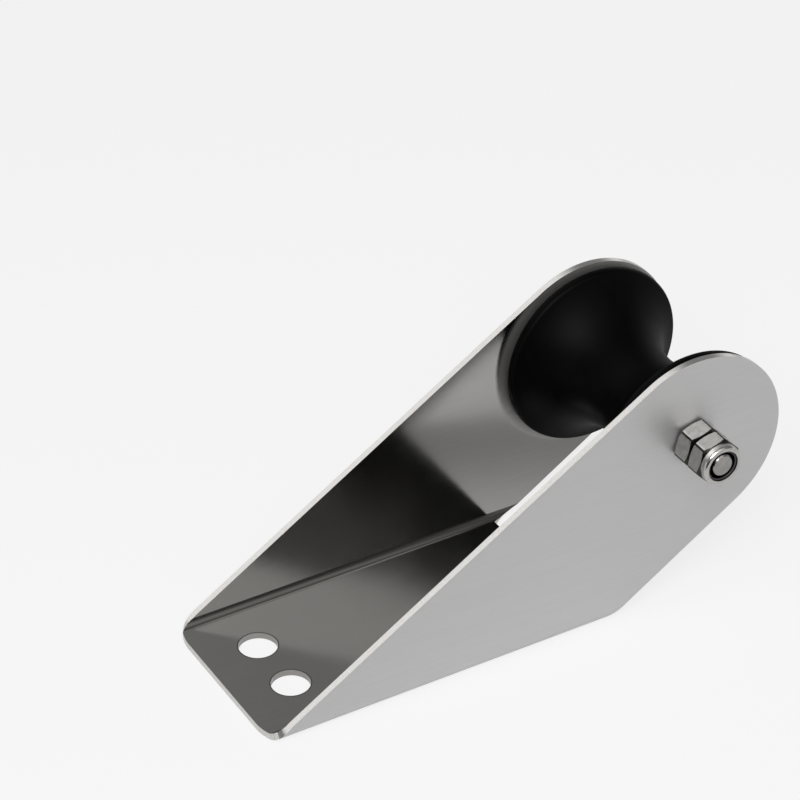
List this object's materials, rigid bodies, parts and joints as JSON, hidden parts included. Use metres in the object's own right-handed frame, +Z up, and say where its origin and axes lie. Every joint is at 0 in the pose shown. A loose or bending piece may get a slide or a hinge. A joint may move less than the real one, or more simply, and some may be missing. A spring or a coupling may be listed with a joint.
{
  "type": "bow roller",
  "caption": "Folded stainless bow roller: a sloping channel bracket with deck holes and a grooved black roller on a through bolt held by a nut and a lock nut.",
  "frame": {"origin": "midway between the two deck holes, on the underside of the base plate", "axes": "+X along the channel towards the bow and the roller, +Y across towards the bolt's head, +Z up from the deck"},
  "size_m": [0.1679, 0.0807, 0.0825],
  "materials": {
    "stainless_sheet": "satin polished",
    "stainless_fasteners": "bright",
    "black_nylon": "satin, turned",
    "ring_nylon": "matte"
  },
  "bodies": {
    "bracket": {"channel_bracket": "stainless_sheet", "axle_bolt": "stainless_fasteners", "plain_nut": "stainless_fasteners", "lock_nut": "stainless_fasteners", "lock_nut_insert": "ring_nylon"},
    "roller": {"roller": "black_nylon"}
  },
  "joints": [
    {"name": "roller_spin", "type": "hinge", "parent": "bracket", "child": "roller", "pos_m": [0.12213, -0.00025, 0.05278], "axis": [0, 1, 0], "continuous": true}
  ]
}
